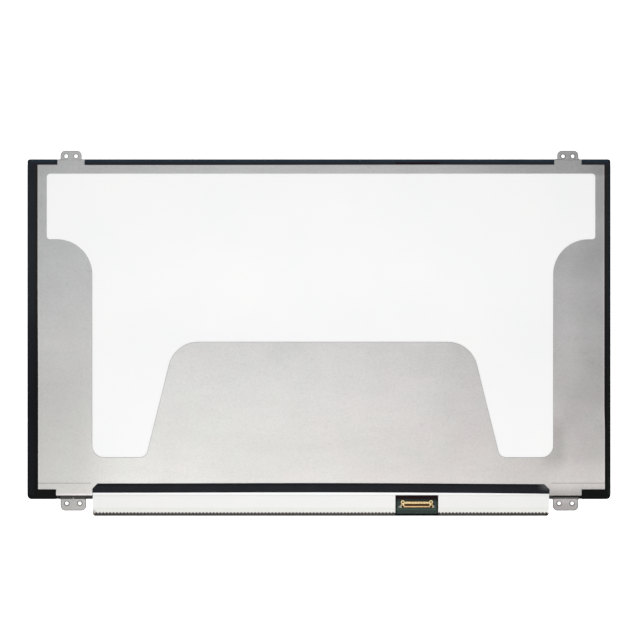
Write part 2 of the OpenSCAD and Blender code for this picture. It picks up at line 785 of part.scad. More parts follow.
// One of a sheet's locating tabs, on the left (0) or right (1) side
module sheet_tab(side, place, grow, z, t) {
    y = guide_bottom + place * (guide_top - guide_bottom);
    x = side == 0 ? guide_left : guide_right;
    chip(x, y, z, [2 * (tab_out + grow), tab_w + 2 * grow, t]);
}

module optical_sheet(z, t) {
    union() {
        slab(guide_left, guide_right, sheet_bottom, guide_top, z, t);
        for (side = [0, 1], place = tab_places) sheet_tab(side, place, 0, z, t);
    }
}

module upper_diffuser_sheet() {
    color(white_colour) optical_sheet(z_ledge, diffuser_t);
}

module upper_prism_sheet() {
    color([0.86, 0.9, 0.92]) optical_sheet(z_upper_prism, prism_t);
}

module lower_prism_sheet() {
    color([0.84, 0.88, 0.9]) optical_sheet(z_lower_prism, prism_t);
}

module lower_diffuser_sheet() {
    color(white_colour) optical_sheet(z_lower_diffuser, diffuser_t);
}

module light_guide_plate() {
    color([0.85, 0.93, 0.95]) slab(guide_left, guide_right, guide_bottom, guide_top, z_guide, guide_t);
}

module reflector_sheet() {
    color(white_colour) slab(guide_left, guide_right, guide_bottom, guide_top, z_reflector, reflector_t);
}

function lamp_pitch() = (guide_right - guide_left) / lamp_count;

module strip_bond_tape() {
    color([0.9, 0.9, 0.85])
        slab(guide_left, guide_right, guide_bottom, strip_top, z_strip_tape, strip_tape_t);
}

module led_strip() {
    color([0.9, 0.75, 0.4]) union() {
        slab(guide_left, guide_right, strip_bottom, strip_top, z_strip, strip_t);
        slab(tail_x - tail_w / 2, tail_x + tail_w / 2, tail_end, strip_bottom + trim, z_strip, strip_t);
    }
}

module led_packages() {
    face = guide_bottom - lamp_gap;
    color([0.97, 0.95, 0.8]) for (i = [0 : lamp_count - 1])
        translate([guide_left + (i + 0.5) * lamp_pitch(), face, z_strip_tape]) difference() {
            chip(0, -lamp_depth / 2, 0, [lamp_w, lamp_depth, lamp_h]);
            chip(0, 0, lamp_wall, [lamp_w - 2 * lamp_wall, 2 * lamp_window_depth, lamp_h - 2 * lamp_wall]);
        }
}

// Back cover

module cover_bond_tape() {
    color([0.2, 0.2, 0.2]) difference() {
        ring([cover_left, cover_right, cover_bottom, cover_top],
            [guide_left - guide_gap, guide_right + guide_gap, strip_bottom - guide_gap,
                guide_top + guide_gap],
            z_rebate, bond_tape_t);
        chip(tail_x, cover_bottom, z_rebate - past, [tail_w + 2 * tail_room, cover_margin_bottom, 2 * past]);
    }
}

// The window: two side lobes, two legs and the steel tongue between the legs
module window_outline() {
    shoulder_y = window_top - lobe_h;
    tongue_y = window_foot + tongue_h;
    rounded_outline([
        [window_left, window_top, window_top_r],
        [window_left, shoulder_y, lobe_r],
        [leg_left, shoulder_y, shoulder_r],
        [leg_left, window_foot, leg_outer_r],
        [leg_left + leg_w_left, window_foot, leg_inner_r],
        [leg_left + leg_w_left + tongue_slant, tongue_y, tongue_r],
        [leg_right - leg_w_right - tongue_slant, tongue_y, tongue_r],
        [leg_right - leg_w_right, window_foot, leg_inner_r],
        [leg_right, window_foot, leg_outer_r],
        [leg_right, shoulder_y, shoulder_r],
        [window_right, shoulder_y, lobe_r],
        [window_right, window_top, window_top_r]]);
}

// Both ears are drawn with the body's edge at y = 0 and their free end at +y
module top_ear_plan() {
    w = top_ear_w / 2;
    base = top_base_w / 2;
    back = -cover_margin_top - past;
    rounded_outline([[-base, back, 0], [base, back, 0], [base, 0, blank_r], [w, 0, skirt_r],
        [w, top_ear_reach, ear_r], [-w, top_ear_reach, ear_r], [-w, 0, skirt_r], [-base, 0, blank_r]]);
}

function skirt_inner(side) = abs(bottom_ear_at(side) - (side < 0 ? board_left : board_right)) - cover_gap;
function skirt_outer(side) = side < 0 ? skirt_outer_left : skirt_outer_right;
function skirt_span(side) = [bottom_ear_at(side) + side * skirt_outer(side),
    bottom_ear_at(side) - side * skirt_inner(side)];

// Plan of a bottom ear with its skirt: the outer end at -x, slanted, and the inner at +x, rounded
module bottom_ear_plan(inner, outer) {
    w = bottom_ear_w / 2;
    back = -cover_margin_bottom - past;
    rounded_outline([[-outer, back, 0], [inner, back, 0], [inner, skirt_out, skirt_r],
        [w, skirt_out, blank_r], [w, bottom_ear_reach, ear_r], [-w, bottom_ear_reach, ear_r],
        [-w, skirt_out, blank_r], [skirt_slant - outer, skirt_out, blank_r],
        [-outer, -skirt_fold, 0]]);
}

// A stepped ear: the folded sheet cut to its plan, with two sunk screw holes
module ear(path, half_w, hole_spacing, hole_out) {
    z = path[len(path) - 1].y;
    difference() {
        intersection() {
            along_x(-half_w, half_w) folded_section(path, steel_t, fold_r);
            translate([0, 0, -past]) linear_extrude(z_back + 2 * past) children();
        }
        for (side = [-1, 1]) translate([side * hole_spacing / 2, hole_out, 0]) {
            translate([0, 0, z - steel_t - past]) cylinder(r = ear_hole_r, h = 2 * past, $fn = 48);
            translate([0, 0, z - ear_sink_depth])
                cylinder(r1 = ear_hole_r, r2 = ear_sink_r, h = ear_sink_depth + trim / 10, $fn = 48);
        }
    }
}

top_bend = top_step_gap + steel_t * tan(atan2(top_ear_drop, top_step_run) / 2);
top_ear_path = [[-cover_margin_top - past, z_back], [top_bend, z_back],
    [top_bend + top_step_run, z_back - top_ear_drop], [top_ear_reach + past, z_back - top_ear_drop]];
bottom_ear_path = [[-cover_margin_bottom - past, z_back], [-skirt_fold, z_back],
    [skirt_out, z_back - bottom_ear_drop], [bottom_ear_reach + past, z_back - bottom_ear_drop]];

// A small rib pressed up in the fold between a skirt and its ear
module gusset() {
    slope = unit(bottom_ear_path[1] - bottom_ear_path[2]);
    foot = bottom_ear_path[2];
    along_x(-gusset_w / 2, gusset_w / 2)
        polygon([foot - [0, steel_t / 2], foot + gusset_reach * [1, 0], foot + gusset_reach * slope]);
}

module back_cover() {
    color(steel_colour) difference() {
        union() {
            translate([0, 0, z_cover]) linear_extrude(steel_t) difference() {
                translate([cover_left, cover_bottom])
                    square([cover_right - cover_left, cover_top - cover_bottom]);
                window_outline();
            }
            for (side = [-1, 1]) {
                translate([top_ear_at(side), top, 0])
                    ear(top_ear_path, top_base_w, top_hole_spacing, top_hole_out) top_ear_plan();
                translate([bottom_ear_at(side), bottom, 0])
                    mirror([0, 1, 0]) mirror([side > 0 ? 1 : 0, 0, 0]) {
                        ear(bottom_ear_path, top_base_w, bottom_hole_spacing, bottom_hole_out)
                            bottom_ear_plan(skirt_inner(side), skirt_outer(side));
                        gusset();
                    }
            }
        }
        for (ends = [[cover_left - past, board_left - crease_short],
                [board_right + crease_short, cover_right + past]])
            slab(ends[0], ends[1], tape_top, tape_top + crease_w, z_back - crease_depth, past);
    }
}

// Control board and what joins it to the glass

function source_places() = [for (i = [0 : source_count - 1]) board_left + (i + 0.5) * source_pitch];

module source_films() {
    color([0.55, 0.4, 0.15]) for (x = source_places())
        translate([x, 0, z_tft - source_t]) linear_extrude(source_t)
            polygon([[-source_w / 2, source_top], [-source_w / 2, bottom],
                [source_bevel - source_w / 2, board_top - source_lap],
                [source_w / 2 - source_bevel, board_top - source_lap],
                [source_w / 2, bottom], [source_w / 2, source_top]]);
}

module source_driver_chips() {
    color(chip_colour) for (x = source_places())
        chip(x, driver_y, z_tft, [driver_w, driver_depth, driver_h]);
}

// Board plan, with plated teeth along its lower rim
module control_board() {
    color(board_colour) union() {
        translate([0, 0, z_tft]) linear_extrude(board_t)
            rounded_outline([[board_left, board_bottom, board_r], [board_right, board_bottom, board_r],
                [board_right, board_top, 0], [board_left, board_top, 0]]);
        rim_comb(board_left + board_r, socket_x - cutout_w / 2 - rim_inset);
        rim_comb(socket_x + cutout_w / 2 + rim_inset, board_right - board_r);
    }
}

// A plated band along the rim with square teeth standing up from it
module rim_comb(from, to) {
    count = floor((to - from - tooth_w) / tooth_pitch);
    foot = board_bottom + rim_inset;
    band = foot + bare_rim * 0.3;
    tip = foot + bare_rim * 0.72;
    translate([0, 0, z_board - copper_t]) linear_extrude(2 * copper_t)
        polygon(concat([[from, foot], [from + count * tooth_pitch + tooth_w, foot]],
            [for (i = [count : -1 : 0]) each
                let (x = from + i * tooth_pitch, before = x - tooth_pitch + tooth_w)
                concat([[x + tooth_w, tip], [x, tip]], i > 0 ? [[x, band], [before, band]] : [])]));
}

// Cable socket

function contact_places() =
    [for (i = [0 : contact_count - 1]) socket_x - contact_span / 2 + i * contact_pitch];

module socket_housing() {
    color(chip_colour) difference() {
        slab(socket_x - housing_w / 2, socket_x + housing_w / 2, housing_front, housing_back,
            z_board, housing_h);
        slab(socket_x - contact_span / 2 - mouth_end, socket_x + contact_span / 2 + mouth_end,
            housing_front - past, housing_back - mouth_wall, z_mouth, mouth_h);
        for (x = contact_places())
            slab(x - contact_w / 2, x + contact_w / 2, housing_back - mouth_wall - past,
                housing_back + past, z_contact, contact_t);
    }
}

// Each contact: a foot on the board, a rise behind the housing and a blade into the mouth
module socket_contacts() {
    t = contact_t;
    inner = housing_back + trim / 2;
    back = inner + t;
    tip = housing_front + contact_set_back;
    color(gold_colour) for (x = contact_places())
        along_x(x - contact_w / 2, x + contact_w / 2)
            polygon([[back + contact_foot, z_board], [back + contact_foot, z_board + t],
                [back, z_board + t], [back, z_contact + t], [tip, z_contact + t], [tip, z_contact],
                [inner, z_contact], [inner, z_board]]);
}

// Stamped shell: two bars, two pull loops, slanted arms and solder legs
module socket_shell() {
    bar_end = housing_w / 2 - shell_inset;
    color(gold_colour) translate([socket_x, 0, 0]) difference() {
        union() {
            translate([0, 0, z_shell]) linear_extrude(shell_t) {
                translate([-loop_x, housing_back - shell_bar_back]) square([2 * loop_x, shell_bar_back]);
                translate([-bar_end, housing_front + shell_front_in])
                    square([2 * bar_end, shell_bar_front]);
                for (side = [-1, 1]) {
                    mirror([side < 0 ? 1 : 0, 0]) translate([bar_end - shell_strap, housing_front])
                        square([leg_x - bar_end + shell_strap, shell_strap]);
                    translate([side * loop_x, loop_y]) circle(r = loop_r, $fn = 48);
                    polygon(side > 0 ? arm_points() : reversed([for (p = arm_points()) [-p.x, p.y]]));
                }
            }
            for (side = [-1, 1])
                chip(side * leg_x, leg_y, z_board, [arm_w, leg_depth, housing_h + shell_t]);
        }
        for (side = [-1, 1]) translate([side * loop_x, loop_y, z_shell - past])
            cylinder(r = loop_hole_r, h = 2 * past, $fn = 48);
        for (i = [0 : shell_windows - 1])
            chip((i / (shell_windows - 1) - 0.5) * contact_span, housing_back - shell_window_in,
                z_shell - trim, [shell_window_w, shell_window_depth, past]);
    }
}

// Outline of the right-hand arm, from the loop out to the solder leg and in to the front bar
function arm_points() = [[loop_x - arm_w / 2, loop_y - loop_r / 2],
    [leg_x - arm_w / 2, leg_y - leg_depth / 2], [leg_x + arm_w / 2, leg_y - leg_depth / 2],
    [leg_x + arm_w / 2, leg_y + leg_depth / 2], [loop_x + arm_w / 2, loop_y - loop_r / 2]];

module socket_solder() {
    color([0.8, 0.8, 0.8]) for (side = [-1, 1])
        translate([socket_x, 0, 0]) mirror([side < 0 ? 1 : 0, 0, 0])
            along_y(leg_y - solder_w / 2, leg_y + solder_w / 2) translate([leg_x + arm_w / 2, z_board])
                polygon([[0, 0], [solder_foot, 0], [0.4 * solder_foot, 0.35 * solder_foot],
                    [0, solder_foot]]);
}

// Parts on the board

function lead_places(w) = let (n = floor((w - 2 * lead_pitch) / lead_pitch))
    [for (i = [0 : n]) (i - n / 2) * lead_pitch];

// A moulded chip with its dimple and a row of leads along each side
module packaged_chip(x, w, d) {
    color(chip_colour) translate([x, parts_y, 0]) union() {
        difference() {
            chip(0, 0, z_board, [w, d, chip_h]);
            translate([dimple_in - w / 2, d / 2 - dimple_in, z_board + chip_h - dimple_depth])
                cylinder(r = dimple_r, h = past, $fn = 24);
        }
        for (side = [-1, 1]) {
            for (p = lead_places(w)) chip(p, side * d / 2, z_board, [lead_w, 2 * lead_out, lead_h]);
            for (p = lead_places(d)) chip(side * w / 2, p, z_board, [2 * lead_out, lead_w, lead_h]);
        }
    }
}

module timing_controller() {
    packaged_chip(on_board(controller_at), controller_w, controller_w);
}

module memory_chip() {
    packaged_chip(on_board(memory_at), memory_w, memory_w * 0.8);
}

module power_chip() {
    packaged_chip(on_board(power_chip_at), power_chip_w, power_chip_w);
}

module gamma_chip() {
    packaged_chip(on_board(gamma_chip_at), power_chip_w, power_chip_w);
}

module lamp_driver_chip() {
    packaged_chip(on_board(lamp_chip_at), lamp_chip_w, lamp_chip_w);
}

module power_inductors() {
    color([0.3, 0.3, 0.32]) for (at = inductors_at)
        chip(on_board(at), parts_y, z_board, [inductor_w, inductor_w, inductor_h]);
}

// A two-ended part: its body and two slightly larger end caps
module end_capped(x, y, w) {
    d = w / 2;
    union() {
        chip(x, y, z_board, [w, d, d * 0.9]);
        for (side = [-1, 1]) chip(x + side * w * 0.4, y, z_board, [w * 0.2, d + 2 * trim, d * 0.9 + trim]);
    }
}

module ceramic_capacitors() {
    color([0.6, 0.45, 0.3]) for (at = capacitors_at)
        end_capped(on_board(at), parts_y - capacitors_down, capacitor_w);
}

module chip_resistors() {
    color(chip_colour) for (at = resistors_at)
        end_capped(on_board(at), parts_y + resistors_up, resistor_w);
}

module board_fuse() {
    color([0.85, 0.85, 0.8]) end_capped(on_board(fuse_at), parts_y - fuse_down, fuse_w);
}

module lamp_socket() {
    color([0.9, 0.88, 0.8]) difference() {
        chip(tail_x, lamp_socket_top - lamp_socket_depth / 2, z_board,
            [lamp_socket_w, lamp_socket_depth, lamp_socket_h]);
        slab(tail_x - tail_w / 2, tail_x + tail_w / 2, tail_end, lamp_socket_top + past, z_strip, strip_t);
    }
}

module lamp_socket_latch() {
    color([0.2, 0.2, 0.2])
        chip(tail_x, lamp_socket_top - lamp_socket_depth * 0.4, z_board + lamp_socket_h,
            [lamp_socket_w - 2 * latch_in, lamp_socket_depth * 0.5, latch_t]);
}

// White film: flat under the tape, down over the frame, flat over the parts and down to the board
z_film_foot = z_board + 2 * copper_t;
film_path = [[film_start, z_back], [bottom + film_bend_top, z_back], [bottom + film_bend_level, z_film],
    [film_slope_start, z_film], [film_slope_end, z_film_foot], [film_end, z_film_foot]];

module board_cover_film() {
    color(white_colour) difference() {
        along_x(board_left, board_right)
            polygon(concat(film_path, reversed([for (p = film_path) p + [0, cover_film_t]])));
        slab(socket_x - cutout_w / 2, socket_x + cutout_w / 2, board_bottom - past, bottom + cutout_top,
            0, z_back + past);
    }
}

// Black tape: on the cover above the film's edge, then on the film
module joint_tape() {
    step = cover_film_t;
    t = joint_tape_t;
    edge = film_start + trim;
    color(black_colour) intersection() {
        along_x(board_left, board_right)
            polygon([[tape_bottom, z_back + step], [edge, z_back + step], [edge, z_back],
                [tape_top, z_back], [tape_top, z_back + t], [edge + t, z_back + t],
                [edge, z_back + step + t], [tape_bottom, z_back + step + t]]);
        linear_extrude(z_back + past)
            polygon([[board_left, tape_bottom], [board_right, tape_bottom],
                [board_right, tape_top - joint_tape_cut], [board_right - joint_tape_cut, tape_top],
                [board_left + joint_tape_cut, tape_top], [board_left, tape_top - joint_tape_cut]]);
    }
}

edge_tape_left();
edge_tape_right();
edge_tape_top();
front_cover_tape();
front_polariser();
colour_filter_glass();
tft_glass();
rear_polariser();
rim_tape();
mold_frame();
upper_diffuser_sheet();
upper_prism_sheet();
lower_prism_sheet();
lower_diffuser_sheet();
light_guide_plate();
reflector_sheet();
strip_bond_tape();
led_strip();
led_packages();
cover_bond_tape();
back_cover();
source_films();
source_driver_chips();
control_board();
socket_housing();
socket_contacts();
socket_shell();
socket_solder();
timing_controller();
memory_chip();
power_chip();
gamma_chip();
lamp_driver_chip();
power_inductors();
ceramic_capacitors();
chip_resistors();
board_fuse();
lamp_socket();
lamp_socket_latch();
board_cover_film();
joint_tape();
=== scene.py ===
"""Laptop screen panel, lying on its screen and seen from its back."""
import math

import bmesh
import bpy
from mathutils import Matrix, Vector


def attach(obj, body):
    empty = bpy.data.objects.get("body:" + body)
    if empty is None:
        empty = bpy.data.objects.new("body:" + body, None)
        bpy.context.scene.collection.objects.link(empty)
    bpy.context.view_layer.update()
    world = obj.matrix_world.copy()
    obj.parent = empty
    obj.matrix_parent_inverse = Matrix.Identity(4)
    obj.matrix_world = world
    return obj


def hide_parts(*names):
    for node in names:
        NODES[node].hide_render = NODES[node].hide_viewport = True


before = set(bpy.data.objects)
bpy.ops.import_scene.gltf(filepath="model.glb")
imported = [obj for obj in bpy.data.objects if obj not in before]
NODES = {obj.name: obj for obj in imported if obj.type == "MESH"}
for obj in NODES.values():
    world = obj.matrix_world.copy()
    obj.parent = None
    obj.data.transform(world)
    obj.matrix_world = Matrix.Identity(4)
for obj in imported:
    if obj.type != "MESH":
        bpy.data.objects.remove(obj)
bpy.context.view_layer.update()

# Lengths and places are in millimetres here and in what the helpers take; MM turns them into metres
MM = 0.001
FLAT_BACK = 3.1
BOARD_BACK = 1.25
BODY_FOOT = -102.225
SOCKET_X = 60.41
# Left and right end of the board, its film and its tape, and of the steel plate's flat
BOARD = (-139.5, 141.9)
PLATE = (-173.5, 176.25)
# Middle between the left and the right ears, and how far the upper and the lower ears stand from it
EARS_X = 0.3
TOP_EAR = 153.15
LOW_EAR = 151.9
# Plated teeth of the board's rim: pitch, and the first one's middle left and right of the socket
TOOTH_PITCH = 2.13
FIRST_TEETH = (-137.425, 74.255)


class Wire:
    """A shader socket that takes part in sums."""

    def __init__(self, finish, socket):
        self.finish = finish
        self.socket = socket

    def sum(self, operation, *values):
        return self.finish.node("ShaderNodeMath", {"operation": operation}, dict(enumerate(values)))

    def __add__(self, other):
        return self.sum("ADD", self, other)

    __radd__ = __add__

    def __sub__(self, other):
        return self.sum("SUBTRACT", self, other)

    def __rsub__(self, other):
        return self.sum("SUBTRACT", other, self)

    def __mul__(self, other):
        return self.sum("MULTIPLY", self, other)

    __rmul__ = __mul__

    def __abs__(self):
        return self.sum("ABSOLUTE", self)

    def __gt__(self, other):
        return self.sum("GREATER_THAN", self, other)

    def __lt__(self, other):
        return self.sum("LESS_THAN", self, other)

    def root(self):
        return self.sum("SQRT", self)

    def least(self, other):
        return self.sum("MINIMUM", self, other)

    def most(self, other):
        return self.sum("MAXIMUM", self, other)


class Finish:
    """One surface finish: a material, its shader and the nodes that vary it."""

    def __init__(self, name, colour, roughness, metallic=0.0, **fixed):
        self.material = bpy.data.materials.new(name)
        self.material.use_nodes = True
        self.tree = self.material.node_tree
        self.shader = self.tree.nodes["Principled BSDF"]
        self.set("Base Color", (*colour, 1))
        self.set("Roughness", roughness)
        self.set("Metallic", metallic)
        for socket, value in fixed.items():
            self.set(socket.replace("_", " "), value)
        self.place = self.node("ShaderNodeTexCoord", {}, {}, "Object")

    def set(self, socket, value):
        """Sets one socket of the shader to a constant or joins a wire to it."""
        self.join(self.shader.inputs[socket], value)
        return self

    def join(self, socket, value):
        if isinstance(value, Wire):
            self.tree.links.new(value.socket, socket)
        else:
            socket.default_value = value

    def node(self, kind, settings, values, output=0):
        """Any node: its type, its settings, the values or wires of its sockets, and the output taken."""
        made = self.tree.nodes.new(kind)
        for setting, value in settings.items():
            setattr(made, setting, value)
        for socket, value in values.items():
            self.join(made.inputs[socket], value)
        return Wire(self, made.outputs[output])

    def axes(self):
        """Object x, y and z, in metres."""
        split = self.node("ShaderNodeSeparateXYZ", {}, {0: self.place})
        return tuple(Wire(self, split.socket.node.outputs[i]) for i in range(3))

    def stretched(self, x, y, z):
        return self.node("ShaderNodeVectorMath", {"operation": "MULTIPLY"}, {0: self.place, 1: (x, y, z)})

    def noise(self, scale, detail=2.0, place=None, roughness=0.5):
        """Soft noise from 0 to 1, with its scale in patches a metre."""
        return self.node("ShaderNodeTexNoise", {}, {"Vector": place or self.place, "Scale": scale,
                                                    "Detail": detail, "Roughness": roughness})

    def ramp(self, value, low, high, to_low=0.0, to_high=1.0):
        return self.node("ShaderNodeMapRange", {},
                         {0: value, 1: low, 2: high, 3: to_low, 4: to_high})

    def smooth(self, value, low, high, to_low=0.0, to_high=1.0):
        return self.node("ShaderNodeMapRange", {"interpolation_type": "SMOOTHSTEP"},
                         {0: value, 1: low, 2: high, 3: to_low, 4: to_high})

    def fade(self, length, start, end, at_start=0.0, at_end=1.0):
        """A smooth change along a length or an axis, which may run downwards too."""
        return self.smooth(length, start * MM, end * MM, at_start, at_end)

    def to_and_fro(self, length, half):
        """Rises from 0 to half and falls again, over and over."""
        return self.node("ShaderNodeMath", {"operation": "PINGPONG"}, {0: length, 1: half * MM})

    def mix(self, share, first, second):
        first = first if isinstance(first, Wire) else (*first, 1)
        second = second if isinstance(second, Wire) else (*second, 1)
        return self.node("ShaderNodeMix", {"data_type": "RGBA"}, {0: share, 6: first, 7: second}, 2)

    def scaled(self, colour, by):
        return self.node("ShaderNodeVectorMath", {"operation": "SCALE"}, {0: colour, "Scale": by})

    def bump(self, height, strength, depth):
        return self.set("Normal", self.node("ShaderNodeBump", {}, {"Height": height, "Strength": strength,
                                                                   "Distance": depth * MM}))


def band(length, low, high, edge):
    """1 between low and high, fading over edge on either side."""
    f = length.finish
    return f.fade(length, low - edge, low) * (1 - f.fade(length, high, high + edge))


def hole_distance(x, y, ear_x, hole_x, hole_y):
    """How far a point is from the nearest screw hole of the ears at ear_x, left and right."""
    across = abs(abs(abs(x - EARS_X * MM) - ear_x * MM) - hole_x * MM)
    along = y - hole_y * MM
    return (across * across + along * along).root()


def depth_in_ear(x, y, ear_x, half_width, end, way):
    """How far inside the rounded outline of an ear a point is; way is 1 where the ear points up, -1 down."""
    corner = 3
    across = (abs(abs(x - EARS_X * MM) - ear_x * MM) - (half_width - corner) * MM).most(0)
    along = ((y - (end - way * corner) * MM) * way).most(0)
    return corner * MM - (across * across + along * along).root()


def painted_steel_sheen(f, x, y, out):
    """Painted sheen and shade: slow drifts of tone over the sheet, lighter or darker as the lights'
    reflection falls on it, darker in the upper right corner, down the right edge and by the lower right ear,
    with a dim patch low on the right, and 1 as its plain tone.
    """
    tongue = f.fade(out, 115, 140, 1, 0)
    foot = f.fade(y, -50, -78)
    right_leg = f.fade(x, 135, 155)
    left_leg = f.fade(x, -150, -130, 1, 0)
    top_strip = f.fade(y, 96, 99)
    # Painted sheen where the lights' reflection is brighter
    lighter = (tongue * f.fade(y, -84, -78, 0.02, 0.032)
               + tongue * band(y, -30, 0, 35) * 0.048
               + foot * band(x, -132, -110, 20) * 0.045
               + right_leg * band(y, 2, 24, 24) * 0.06
               + right_leg * f.fade(y, -74, -86) * 0.11
               + left_leg * f.fade(y, -50, -85) * 0.035)
    # Painted shade where the lights' reflection is dimmer
    darker = (tongue * f.fade(x, 60, 100) * 0.03
              + foot * band(x, -50, 62, 35) * 0.068
              + right_leg * band(y, -68, -34, 16) * 0.035
              + left_leg * f.fade(y, -5, -38) * 0.095
              + top_strip * (0.065 + f.fade(x, 80, 110) * 0.025 + f.fade(x, 122, 140) * 0.05))
    # Painted shade in the upper right corner, down the right edge and by the lower right ear
    corner = f.fade(x, 165, 172) * f.fade(y, 66, 86) * 0.07
    right_edge_shade = f.fade(x, 150, 168) * f.fade(y, -60, -20) * 0.08
    dim_patch = band(x, 142, 147, 8) * band(y, -76, -62, 12) * 0.16
    shade_by_right_ear = f.fade(y, -92.5, -99.8) * (x > 141 * MM) * (y > -100.3 * MM) * 0.34
    return 1 + lighter - darker - corner - right_edge_shade - dim_patch - shade_by_right_ear


def steel_tint(f, x, y):
    """Cool grey at the top and warm at the foot, each drifting from greener to redder."""
    blotch = f.ramp(f.noise(60, 2), 0.35, 0.65) * 0.5 + f.fade(x, -70, 110) * 0.5
    cool = f.mix(blotch, (0.460, 0.465, 0.464), (0.466, 0.460, 0.466))
    warm = f.mix(blotch, (0.472, 0.471, 0.453), (0.482, 0.453, 0.446))
    return f.mix(f.fade(y, -100, 60), warm, cool)


def ear_painted_shade(f, x, y, out, right, lug):
    """Painted shade in the sunk rings round the ears' holes and along their sheared outlines, a painted
    highlight on the slope where the upper ears drop, and painted shade over the lower ears.
    """
    # Painted shade in the holes' sunk rings, deeper on the right upper ear
    top_ring_shade = f.fade(hole_distance(x, y, TOP_EAR, 3, 109.175), 1.45, 2.1, 1, 0)
    low_ring_shade = f.fade(hole_distance(x, y, LOW_EAR, 4, -104.975), 1.45, 1.95, 1, 0)
    # Painted shade along the ears' sheared outlines
    top_outline_shade = f.fade(depth_in_ear(x, y, TOP_EAR, 6.6, 112.725, 1), 0.3, 0.8, 1, 0) * (y > 108 * MM)
    low_outline_shade = f.fade(depth_in_ear(x, y, LOW_EAR, 7.95, -109.525, -1), 0.35, 0.75, 1, 0) * lug
    # Painted highlight on the slope where the upper ears drop
    step_highlight = band(y, 107.05, 108.0, 0.15) * (out > 140 * MM)
    # Painted shade over the lower ears, changing along the right one
    low_ear_shade = lug * (0.295 + right * f.fade(y, -106, -103.5, 0.075, -0.03))
    return ((1 - top_ring_shade * (0.22 + right * 0.22)) * (1 - low_ring_shade * 0.58) * (1 - top_outline_shade * 0.15)
            * (1 - low_outline_shade * 0.42) * (1 - low_ear_shade) * (1 + step_highlight * 0.5))


def skirt_painted_shade(f, y, out, right):
    """Painted shade on the folded skirts: near black, less dark at the lower ears' roots, with a painted
    highlight on their nicks and painted sheen on the struts.
    """
    root = f.fade(abs(out - LOW_EAR * MM), 7.7, 8.1, 1, 0)
    left_root = f.fade(y, -100.0, -100.6, 0, 0.13) * (1 - right)
    right_root = f.fade(y, -100.5, -102.4, 0, 0.4) * right
    # Painted highlight on the little rib in each lower ear's middle, and painted sheen on the struts
    nick_highlight = f.fade(abs(out - LOW_EAR * MM), 0.3, 0.7, 1, 0) * f.fade(y, -100.9, -101.5) * (1 - right * 0.8)
    strut_sheen = band(out, 161.2, 162.1, 0.3) + band(out, 140.4, 143.6, 0.5) * 0.6
    return 0.03 + root * (left_root + right_root) + nick_highlight * 0.25 + strut_sheen * 0.14


def zinc_steel():
    """Bare zinc-coated sheet: dull and finely mottled, with a painted highlight at its sheared rims, painted
    shade near black in its folds, and painted sheen and shade over its flat.
    """
    f = Finish("zinc_steel", (0.45, 0.45, 0.45), 0.42, 1.0)
    x, y, z = f.axes()
    out = abs(x - EARS_X * MM)
    right = x > 0
    grain = f.noise(1500, 2, f.stretched(0.6, 1, 1), 0.6)
    specks = f.smooth(f.noise(520, 2, f.stretched(0.7, 1, 1)), 0.62, 0.72)
    clouds = f.noise(55, 3)
    streaks = f.noise(100, 2, f.stretched(0.3, 1.8, 1))
    patches = f.noise(22, 2)
    mottle = (f.ramp(grain, 0.25, 0.75, 0.92, 1.08) * f.ramp(clouds, 0.3, 0.7, 0.975, 1.025)
              * f.ramp(streaks, 0.3, 0.7, 0.985, 1.015) * f.ramp(patches, 0.3, 0.7, 0.985, 1.015)
              * (1 - specks * 0.05))
    flat = f.fade(z, FLAT_BACK - 0.2, FLAT_BACK - 0.05)
    # The plate's flat is painted near black beyond two lines that taper along its sides
    left_line = PLATE[0] * MM + f.fade(y, 60, -40, 0, 0.42 * MM)
    right_line = PLATE[1] * MM - f.fade(y, -62, -45, 0, 0.37 * MM)
    blackened_sides = ((x < left_line) + (x > right_line)).least(1) * flat
    # Painted highlight, pinkish, along the plate's sides by those lines and along its lower edge on the left
    rim = (f.fade(x - left_line, 0.5, 1, 0.6, 0) + f.fade(x - right_line, -1, -0.5) * 1.4
           + f.fade(y, -98.6, -99.1) * (1 - right) * 1.9).least(1.9) * flat
    # Painted shade in the line scored across the plate, beyond the board's ends
    scored = band(y, -92.45, -92.25, 0.25) * flat * (1 - band(x, BOARD[0] - 1, BOARD[1] + 1, 0.5))
    # Painted shade on the steel just below the flat's level, on its rounded-over edges
    edge_shade = band(z, FLAT_BACK - 0.25, FLAT_BACK - 0.05, 0.035)
    # Painted shade along the plate's top edge, deeper towards the left
    top_gap_shade = f.fade(y, 103.6, 103.72) * f.fade(x, 80, -80, 0.3, 1) * (out < 144.5 * MM)
    lug = (y < BODY_FOOT * MM) * (1 - flat)
    skirt = (1 - flat) * (1 - lug) * (y < 0)
    # The mottled tone times the painted sheen, shade and highlight
    shade = (mottle * painted_steel_sheen(f, x, y, out) * ear_painted_shade(f, x, y, out, right, lug)
             * (1 - skirt + skirt * skirt_painted_shade(f, y, out, right)) * (1 + rim * 0.13) * (1 - scored * 0.06)
             * (1 - top_gap_shade * 0.8) * (1 - edge_shade * 0.45) * (1 - blackened_sides * 0.97))
    f.set("Base Color", f.scaled(f.mix(rim * 0.6, steel_tint(f, x, y), (0.475, 0.448, 0.452)), shade))
    f.set("Roughness", f.ramp(clouds * 0.5 + grain * 0.5, 0.25, 0.75, 0.38, 0.48))
    return f.bump(grain, 0.12, 0.02)


